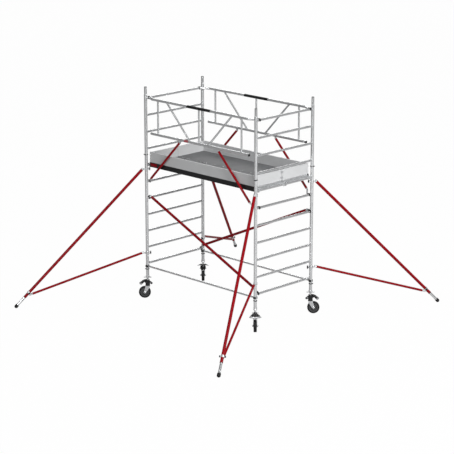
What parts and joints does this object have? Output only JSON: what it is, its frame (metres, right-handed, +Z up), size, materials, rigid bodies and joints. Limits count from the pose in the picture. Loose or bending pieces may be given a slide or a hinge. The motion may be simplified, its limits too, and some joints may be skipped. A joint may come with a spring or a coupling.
{
  "type": "mobile tower scaffold",
  "caption": "Mobile tower scaffold: ladder frames on braked castors, railed platform with toe boards and hatch, telescopic stabilisers.",
  "frame": {"origin": "on the floor, at the centre of the tower, between the four castors", "axes": "+Z up; X along the platform, with the right-hand frame at +X; Y across it, with the front at -Y"},
  "size_m": [4.785, 5.2138, 3.597],
  "materials": {
    "aluminium": "satin",
    "bright_aluminium": "satin",
    "red_paint": "gloss",
    "black_plastic": "matte",
    "dark_beam": "satin",
    "deck_panel": "matte",
    "toe_board": "satin",
    "tyre": "matte",
    "hub": "satin",
    "zinc_steel": "satin",
    "grip": "matte",
    "rubber": "matte"
  },
  "bodies": {
    "tower": {"lower_frame_left": "aluminium", "lower_frame_right": "aluminium", "upper_frame_left": "aluminium", "upper_frame_right": "aluminium", "frame_spigots": "bright_aluminium", "spigot_caps": "black_plastic", "interlock_clips": "black_plastic", "guardrail_front": "aluminium", "guardrail_rear": "aluminium", "guardrail_grips": "grip", "guardrail_hooks": "black_plastic", "guardrail_braces": "red_paint", "brace_hooks": "zinc_steel", "diagonal_braces": "red_paint", "horizontal_braces": "aluminium", "platform_beams": "dark_beam", "platform_ends": "aluminium", "deck_boards": "deck_panel", "toe_boards": "toe_board"},
    "hatch": {"hatch": "deck_panel"},
    "nut_front_left": {"spindle_nut_front_left": "zinc_steel"},
    "leg_front_left": {"castor_spindle_front_left": "zinc_steel"},
    "castor_front_left": {"castor_fork_front_left": "zinc_steel"},
    "wheel_front_left": {"castor_tyre_front_left": "tyre", "castor_hub_front_left": "hub"},
    "brake_front_left": {"brake_pedal_front_left": "zinc_steel"},
    "stabiliser_front_left": {"stabiliser_tubes_front_left": "red_paint", "stabiliser_clamps_front_left": "aluminium"},
    "extension_front_left": {"stabiliser_leg_front_left": "bright_aluminium", "stabiliser_foot_front_left": "rubber"},
    "nut_front_right": {"spindle_nut_front_right": "zinc_steel"},
    "leg_front_right": {"castor_spindle_front_right": "zinc_steel"},
    "castor_front_right": {"castor_fork_front_right": "zinc_steel"},
    "wheel_front_right": {"castor_tyre_front_right": "tyre", "castor_hub_front_right": "hub"},
    "brake_front_right": {"brake_pedal_front_right": "zinc_steel"},
    "stabiliser_front_right": {"stabiliser_tubes_front_right": "red_paint", "stabiliser_clamps_front_right": "aluminium"},
    "extension_front_right": {"stabiliser_leg_front_right": "bright_aluminium", "stabiliser_foot_front_right": "rubber"},
    "nut_rear_left": {"spindle_nut_rear_left": "zinc_steel"},
    "leg_rear_left": {"castor_spindle_rear_left": "zinc_steel"},
    "castor_rear_left": {"castor_fork_rear_left": "zinc_steel"},
    "wheel_rear_left": {"castor_tyre_rear_left": "tyre", "castor_hub_rear_left": "hub"},
    "brake_rear_left": {"brake_pedal_rear_left": "zinc_steel"},
    "stabiliser_rear_left": {"stabiliser_tubes_rear_left": "red_paint", "stabiliser_clamps_rear_left": "aluminium"},
    "extension_rear_left": {"stabiliser_leg_rear_left": "bright_aluminium", "stabiliser_foot_rear_left": "rubber"},
    "nut_rear_right": {"spindle_nut_rear_right": "zinc_steel"},
    "leg_rear_right": {"castor_spindle_rear_right": "zinc_steel"},
    "castor_rear_right": {"castor_fork_rear_right": "zinc_steel"},
    "wheel_rear_right": {"castor_tyre_rear_right": "tyre", "castor_hub_rear_right": "hub"},
    "brake_rear_right": {"brake_pedal_rear_right": "zinc_steel"},
    "stabiliser_rear_right": {"stabiliser_tubes_rear_right": "red_paint", "stabiliser_clamps_rear_right": "aluminium"},
    "extension_rear_right": {"stabiliser_leg_rear_right": "bright_aluminium", "stabiliser_foot_rear_right": "rubber"}
  },
  "joints": [
    {"name": "hatch_lift", "type": "hinge", "parent": "tower", "child": "hatch", "pos_m": [-0.745, -0.0485, 2.3473], "axis": [-1, 0, 0], "range_deg": [0, 95]},
    {"name": "nut_turn_front_left", "type": "hinge", "parent": "tower", "child": "nut_front_left", "pos_m": [-1.25, -0.65, 0.368], "axis": [0, 0, 1], "range_deg": [0, 7200]},
    {"name": "leg_height_front_left", "type": "slide", "parent": "tower", "child": "leg_front_left", "axis": [0, 0, -1], "range_m": [0, 0.2]},
    {"name": "castor_swivel_front_left", "type": "hinge", "parent": "leg_front_left", "child": "castor_front_left", "pos_m": [-1.25, -0.65, 0.28], "axis": [0, 0, 1], "continuous": true},
    {"name": "wheel_roll_front_left", "type": "hinge", "parent": "castor_front_left", "child": "wheel_front_left", "pos_m": [-1.285, -0.685, 0.1], "axis": [0.7071, -0.7071, 0], "continuous": true},
    {"name": "brake_press_front_left", "type": "hinge", "parent": "castor_front_left", "child": "brake_front_left", "pos_m": [-1.25, -0.65, 0.27], "axis": [0.7071, -0.7071, 0], "range_deg": [0, 12]},
    {"name": "stabiliser_swing_front_left", "type": "hinge", "parent": "tower", "child": "stabiliser_front_left", "pos_m": [-1.25, -0.65, 1.5], "axis": [0, 0, 1], "range_deg": [-35, 35]},
    {"name": "stabiliser_extend_front_left", "type": "slide", "parent": "stabiliser_front_left", "child": "extension_front_left", "axis": [-0.3509, -0.6078, -0.7123], "range_m": [-0.12, 0.3]},
    {"name": "nut_turn_front_right", "type": "hinge", "parent": "tower", "child": "nut_front_right", "pos_m": [1.25, -0.65, 0.368], "axis": [0, 0, 1], "range_deg": [0, 7200]},
    {"name": "leg_height_front_right", "type": "slide", "parent": "tower", "child": "leg_front_right", "axis": [0, 0, -1], "range_m": [0, 0.2]},
    {"name": "castor_swivel_front_right", "type": "hinge", "parent": "leg_front_right", "child": "castor_front_right", "pos_m": [1.25, -0.65, 0.28], "axis": [0, 0, 1], "continuous": true},
    {"name": "wheel_roll_front_right", "type": "hinge", "parent": "castor_front_right", "child": "wheel_front_right", "pos_m": [1.285, -0.685, 0.1], "axis": [0.7071, 0.7071, 0], "continuous": true},
    {"name": "brake_press_front_right", "type": "hinge", "parent": "castor_front_right", "child": "brake_front_right", "pos_m": [1.25, -0.65, 0.27], "axis": [0.7071, 0.7071, 0], "range_deg": [0, 12]},
    {"name": "stabiliser_swing_front_right", "type": "hinge", "parent": "tower", "child": "stabiliser_front_right", "pos_m": [1.25, -0.65, 1.5], "axis": [0, 0, 1], "range_deg": [-35, 35]},
    {"name": "stabiliser_extend_front_right", "type": "slide", "parent": "stabiliser_front_right", "child": "extension_front_right", "axis": [0.3509, -0.6078, -0.7123], "range_m": [-0.12, 0.3]},
    {"name": "nut_turn_rear_left", "type": "hinge", "parent": "tower", "child": "nut_rear_left", "pos_m": [-1.25, 0.65, 0.368], "axis": [0, 0, 1], "range_deg": [0, 7200]},
    {"name": "leg_height_rear_left", "type": "slide", "parent": "tower", "child": "leg_rear_left", "axis": [0, 0, -1], "range_m": [0, 0.2]},
    {"name": "castor_swivel_rear_left", "type": "hinge", "parent": "leg_rear_left", "child": "castor_rear_left", "pos_m": [-1.25, 0.65, 0.28], "axis": [0, 0, 1], "continuous": true},
    {"name": "wheel_roll_rear_left", "type": "hinge", "parent": "castor_rear_left", "child": "wheel_rear_left", "pos_m": [-1.285, 0.685, 0.1], "axis": [-0.7071, -0.7071, 0], "continuous": true},
    {"name": "brake_press_rear_left", "type": "hinge", "parent": "castor_rear_left", "child": "brake_rear_left", "pos_m": [-1.25, 0.65, 0.27], "axis": [-0.7071, -0.7071, 0], "range_deg": [0, 12]},
    {"name": "stabiliser_swing_rear_left", "type": "hinge", "parent": "tower", "child": "stabiliser_rear_left", "pos_m": [-1.25, 0.65, 1.5], "axis": [0, 0, 1], "range_deg": [-35, 35]},
    {"name": "stabiliser_extend_rear_left", "type": "slide", "parent": "stabiliser_rear_left", "child": "extension_rear_left", "axis": [-0.3509, 0.6078, -0.7123], "range_m": [-0.12, 0.3]},
    {"name": "nut_turn_rear_right", "type": "hinge", "parent": "tower", "child": "nut_rear_right", "pos_m": [1.25, 0.65, 0.368], "axis": [0, 0, 1], "range_deg": [0, 7200]},
    {"name": "leg_height_rear_right", "type": "slide", "parent": "tower", "child": "leg_rear_right", "axis": [0, 0, -1], "range_m": [0, 0.2]},
    {"name": "castor_swivel_rear_right", "type": "hinge", "parent": "leg_rear_right", "child": "castor_rear_right", "pos_m": [1.25, 0.65, 0.28], "axis": [0, 0, 1], "continuous": true},
    {"name": "wheel_roll_rear_right", "type": "hinge", "parent": "castor_rear_right", "child": "wheel_rear_right", "pos_m": [1.285, 0.685, 0.1], "axis": [-0.7071, 0.7071, 0], "continuous": true},
    {"name": "brake_press_rear_right", "type": "hinge", "parent": "castor_rear_right", "child": "brake_rear_right", "pos_m": [1.25, 0.65, 0.27], "axis": [-0.7071, 0.7071, 0], "range_deg": [0, 12]},
    {"name": "stabiliser_swing_rear_right", "type": "hinge", "parent": "tower", "child": "stabiliser_rear_right", "pos_m": [1.25, 0.65, 1.5], "axis": [0, 0, 1], "range_deg": [-35, 35]},
    {"name": "stabiliser_extend_rear_right", "type": "slide", "parent": "stabiliser_rear_right", "child": "extension_rear_right", "axis": [0.3509, 0.6078, -0.7123], "range_m": [-0.12, 0.3]}
  ],
  "couplings": [
    {"joint": "nut_turn_front_left", "follows": "leg_height_front_left", "rad_per_m": 628.32},
    {"joint": "nut_turn_front_right", "follows": "leg_height_front_right", "rad_per_m": 628.32},
    {"joint": "nut_turn_rear_left", "follows": "leg_height_rear_left", "rad_per_m": 628.32},
    {"joint": "nut_turn_rear_right", "follows": "leg_height_rear_right", "rad_per_m": 628.32}
  ]
}
